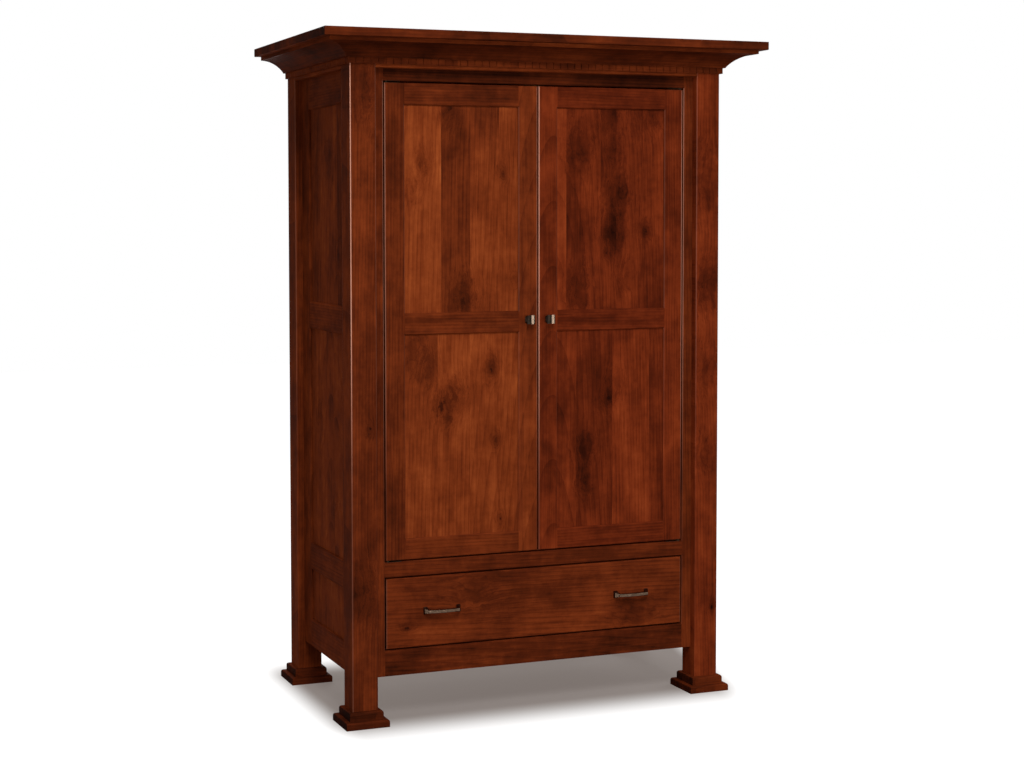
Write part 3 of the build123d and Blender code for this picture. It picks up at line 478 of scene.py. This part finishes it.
RIGHT_KNOTS = (
    (0.268, 1.499, 0.036, 0.9, 0.0), (0.249, 1.381, 0.034, 0.9, 0.0), (0.355, 1.392, 0.018, 0.9, 0.5),
    (0.245, 1.735, 0.034, 0.9, 0.0), (0.249, 1.640, 0.024, 0.6, 0.0), (0.398, 1.743, 0.034, 0.8, 0.0),
    (0.131, 1.640, 0.040, 0.5, 0.0), (0.335, 1.735, 0.030, 0.5, 0.0),
    (0.223, 1.328, 0.007, 0.5, 1.0), (0.286, 1.262, 0.022, 0.8, 0.3), (0.138, 1.220, 0.034, 0.8, 0.0),
    (0.230, 0.895, 0.022, 0.9, 0.5), (0.257, 0.948, 0.026, 0.7, 0.0), (0.157, 0.759, 0.028, 0.8, 0.0),
    (0.152, 0.655, 0.022, 0.8, 0.0),
)
DOOR_RAIL_EDGES = (0.8, 1.45, 2.0)
DOOR_EDGE_ZONE = 0.012
DOOR_INNER_WEAR_AND_HIGHLIGHT = 0.055
# The last number lightens the eased upright edges, partly wear and partly a painted highlight, more on the
# right door; beside the panels the inner share is used
DOORS = (
    ("door_left", LEFT_BOARDS, LEFT_KNOTS, (0.44, 0.55), (0.54, 0.45, 0.46), 50.0, STAIN, 0.30),
    ("door_right", RIGHT_BOARDS, RIGHT_KNOTS, (0.50, 0.50), (0.50, 0.46, 0.47), 60.0, RED_STAIN, 0.66),
)
for door, panel_boards, knots, stile_tones, rail_tones, seed, colours, wear_and_highlight in DOORS:
    left_x, right_x = (corner.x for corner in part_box(door + "_stiles"))
    middle = (left_x + right_x) / 2
    inner_reach = (right_x - left_x) / 2 - DOOR_EDGE_ZONE
    stile_boards = one_row(left_x, right_x, *zip((middle, right_x), stile_tones))
    rail_boards = one_row(0.0, 2.0, *zip(DOOR_RAIL_EDGES, rail_tones))
    dress(wood(door + "_stile_wood", "Z", "X", stile_boards, seed=seed, colours=colours, wear_and_highlight=wear_and_highlight,
               inner_edges=(middle, inner_reach, DOOR_INNER_WEAR_AND_HIGHLIGHT)), door + "_stiles")
    dress(wood(door + "_rail_wood", "X", "Z", rail_boards, seed=seed + 1.7, colours=colours), door + "_rails")
    dress(wood(door + "_panel_wood", "Z", "X", panel_boards, knots, seed + 3.3, colours), door + "_panels")

# Drawer front
DRAWER_KNOTS = (
    (0.265, -0.407, 0.012, 0.7, 0.7), (0.364, -0.203, 0.040, 0.6, 0.0), (0.251, 0.325, 0.040, 0.6, 0.0),
)
# Its eased upright edges are lightened, partly wear and partly a painted highlight
dress(wood("drawer_front_wood", "X", "Z", one_board(0.54), DRAWER_KNOTS, seed=70.0, wear_and_highlight=0.80),
      "drawer_front")

# Back and inside
BACK_RAIL_BOARDS = one_row(0.0, 2.0, (0.3, 0.5), (1.2, 0.47), (2.0, 0.5))
BACK_BOARDS = one_row(-0.52, 0.52, (-0.40, 0.50), (-0.27, 0.56), (-0.12, 0.48), (0.03, 0.53), (0.17, 0.50),
                      (0.29, 0.57), (0.41, 0.49), (0.52, 0.54))
dress(wood("back_rail_wood", "X", "Z", BACK_RAIL_BOARDS, seed=80.0), "back_rails")
dress(wood("back_panel_wood", "Z", "X", BACK_BOARDS, seed=81.0), "back_panels")
INNER_PIECES = (
    ("inner_board_wood", "X", "Y", 0.5, 82.0,
     ("wardrobe_floor", "bottom_board", "hat_shelf", "drawer_bottom")),
    ("inner_rail_wood", "X", "Z", 0.5, 83.0, ("drawer_back",)),
    ("inner_side_wood", "Y", "Z", 0.5, 84.0, ("drawer_sides", "cleats", "slide_blocks", "door_catch")),
    ("rod_wood", "X", "Y", 0.6, 85.0, ("clothes_rod",)),
)
for name, along, across, tone, seed, pieces in INNER_PIECES:
    dress(wood(name, along, across, one_board(tone), seed=seed, colours=CLEAR_LACQUER), *pieces)

# Hardware
knob_pewter = metal("knob_pewter", (0.008, 0.0055, 0.0040), (0.044, 0.031, 0.022), 0.13)
pull_pewter = metal("pull_pewter", (0.030, 0.020, 0.013), (0.20, 0.128, 0.088), 0.24)
steel = metal("steel", (0.16, 0.163, 0.166), (0.40, 0.405, 0.41), 0.34)
brass = metal("hinge_brass", (0.006, 0.0045, 0.003), (0.030, 0.022, 0.013), 0.45)
dress(knob_pewter, "door_left_knob", "door_right_knob")
dress(pull_pewter, "drawer_pulls")
dress(steel, "slide_outer", "slide_middle", "slide_inner", "catch_magnets", "door_left_strike",
      "door_right_strike", "door_left_knob_screw", "door_right_knob_screw", "pull_screws", "rod_sockets")
dress(brass, "case_hinge_leaves", "case_hinge_screws", "door_left_hinge_leaves", "door_right_hinge_leaves",
      "door_left_hinge_screws", "door_right_hinge_screws")


def white_to_the_eye(tree, socket):
    """1 for rays from the camera or sent on by metal and glass, 0 for the light on the object."""
    path = tree.nodes.new("ShaderNodeLightPath")
    total = path.outputs["Is Camera Ray"]
    for key in ("Is Glossy Ray", "Is Transmission Ray"):
        larger = tree.nodes.new("ShaderNodeMath")
        larger.operation = "MAXIMUM"
        tree.links.new(total, larger.inputs[0])
        tree.links.new(path.outputs[key], larger.inputs[1])
        total = larger.outputs[0]
    tree.links.new(total, socket)


# Background: white to the eye, a weaker white as light
WHITE = (1.0, 1.0, 1.0)
AMBIENT = 0.16
world = bpy.data.worlds.new("studio")
bpy.context.scene.world = world
world.use_nodes = True
world_tree = world.node_tree
world_tree.nodes.clear()
mixed = world_tree.nodes.new("ShaderNodeMixShader")
white_to_the_eye(world_tree, mixed.inputs[0])
for strength, socket in ((AMBIENT, mixed.inputs[1]), (1.0, mixed.inputs[2])):
    background = world_tree.nodes.new("ShaderNodeBackground")
    background.inputs["Strength"].default_value = strength
    background.inputs["Color"].default_value = (*WHITE, 1.0)
    world_tree.links.new(background.outputs[0], socket)
world_tree.links.new(mixed.outputs[0], world_tree.nodes.new("ShaderNodeOutputWorld").inputs["Surface"])

# Floor: white paper with a soft shade under the case, which fades into the background around it
FLOOR_HALF = 12.0
FLOOR_COLOUR = (0.13, 0.12, 0.115, 1.0)
FLOOR_ROUGHNESS = 0.9
FLOOR_SPECULAR = 0.1
SHADE_COLOUR = (0.175, 0.147, 0.133)
SHADE_LEFT = -0.565
SHADE_RIGHT = 0.635
SHADE_SLANT = 0.255
SIDE_FADE = 0.114
SHADE_FRONT = -0.200
FRONT_FADE = 0.250
SHADE_BACK = 0.330
BACK_FADE = 0.220


def outside(finish, before, before_fade, after, after_fade):
    """How far a point lies outside two limits, as a share of the fade beyond each one."""
    shares = (finish.compute("DIVIDE", before, before_fade), finish.compute("DIVIDE", after, after_fade))
    return finish.compute("MAXIMUM", finish.compute("MAXIMUM", *shares), 0.0)


def floor_paper():
    """The floor's material: its shade lies where the case stands."""
    paper = Finish("floor_paper")
    place = paper.coordinates()
    x, y = place["X"], place["Y"]
    right_limit = paper.compute("MULTIPLY_ADD", y, SHADE_SLANT, SHADE_RIGHT)
    past_x = outside(paper, paper.less(SHADE_LEFT, x), SIDE_FADE, paper.less(x, right_limit), SIDE_FADE)
    past_y = outside(paper, paper.less(SHADE_FRONT, y), FRONT_FADE, paper.less(y, SHADE_BACK), BACK_FADE)
    away = paper.compute("SQRT", paper.add(paper.times(past_x, past_x), paper.times(past_y, past_y)))
    seen = paper.ramp(paper.between(away, 0.0, 1.0), ((0.0, SHADE_COLOUR), (1.0, WHITE)))
    paper.feed(paper.shader.inputs["Emission Color"], seen)
    white_to_the_eye(paper.tree, paper.shader.inputs["Emission Strength"])
    paper.shader.inputs["Base Color"].default_value = FLOOR_COLOUR
    paper.shader.inputs["Roughness"].default_value = FLOOR_ROUGHNESS
    paper.shader.inputs["Specular IOR Level"].default_value = FLOOR_SPECULAR
    return paper.material


floor_mesh = bpy.data.meshes.new("floor")
corners = [(FLOOR_HALF * x, FLOOR_HALF * y, 0.0) for x, y in ((-1, -1), (1, -1), (1, 1), (-1, 1))]
floor_mesh.from_pydata(corners, [], [(0, 1, 2, 3)])
floor_mesh.materials.append(floor_paper())
floor = bpy.data.objects.new("floor", floor_mesh)
bpy.context.scene.collection.objects.link(floor)

# Lamps: where each one stands, what it points at, width, height and power
LAMPS = (
    ("key", (-1.3, -4.2, 4.6), (0.0, 0.0, 0.9), 1.8, 1.8, 185.0),
    ("left_fill", (-3.6, -1.0, 0.85), (-0.5, 0.0, 0.8), 1.0, 1.8, 26.0),
    ("overhead", (0.0, -0.1, 4.6), (0.0, 0.0, 0.0), 2.6, 2.0, 90.0),
    ("front_card", (-0.15, -4.6, 0.90), (0.0, 0.0, 1.0), 2.3, 0.30, 75.0),
    ("right_fill", (3.4, -3.0, 1.8), (0.3, 0.0, 0.9), 1.6, 1.8, 25.0),
    ("right_side", (4.2, 0.9, 1.7), (0.5, 0.0, 1.0), 1.8, 1.8, 45.0),
    ("back", (0.6, 4.6, 2.2), (0.0, 0.3, 1.0), 2.4, 2.0, 80.0),
)
for name, stand, target, width, height, power in LAMPS:
    lamp = bpy.data.lights.new(name, "AREA")
    lamp.shape = "RECTANGLE"
    lamp.size = width
    lamp.size_y = height
    lamp.energy = power
    holder = bpy.data.objects.new(name, lamp)
    bpy.context.scene.collection.objects.link(holder)
    holder.location = stand
    holder.rotation_euler = (Vector(target) - Vector(stand)).to_track_quat("-Z", "Y").to_euler()

# Camera: eye, turn to the left, tilt down and roll, with the shift of the photograph's framing
EYE = (-2.15188, -4.97525, 1.42930)
TURN = -0.36030
TILT = 0.04915
ROLL = -0.00298
LENS = 62.82
SENSOR_WIDTH = 36.0
SHIFT_X = 0.0898
SHIFT_Y = -0.075
ahead = Vector((-math.sin(TURN) * math.cos(TILT), math.cos(TURN) * math.cos(TILT), -math.sin(TILT)))
level = Vector((math.cos(TURN), math.sin(TURN), 0.0))
upward = level.cross(ahead)
right = math.cos(ROLL) * level + math.sin(ROLL) * upward
up = math.cos(ROLL) * upward - math.sin(ROLL) * level
optics = bpy.data.cameras.new("camera")
optics.sensor_width = SENSOR_WIDTH
optics.lens = LENS
optics.shift_x = SHIFT_X
optics.shift_y = SHIFT_Y
camera = bpy.data.objects.new("camera", optics)
bpy.context.scene.collection.objects.link(camera)
camera.matrix_world = Matrix((right, up, -ahead)).transposed().to_4x4()
camera.location = EYE
bpy.context.scene.camera = camera
bpy.context.scene.view_settings.view_transform = "Standard"
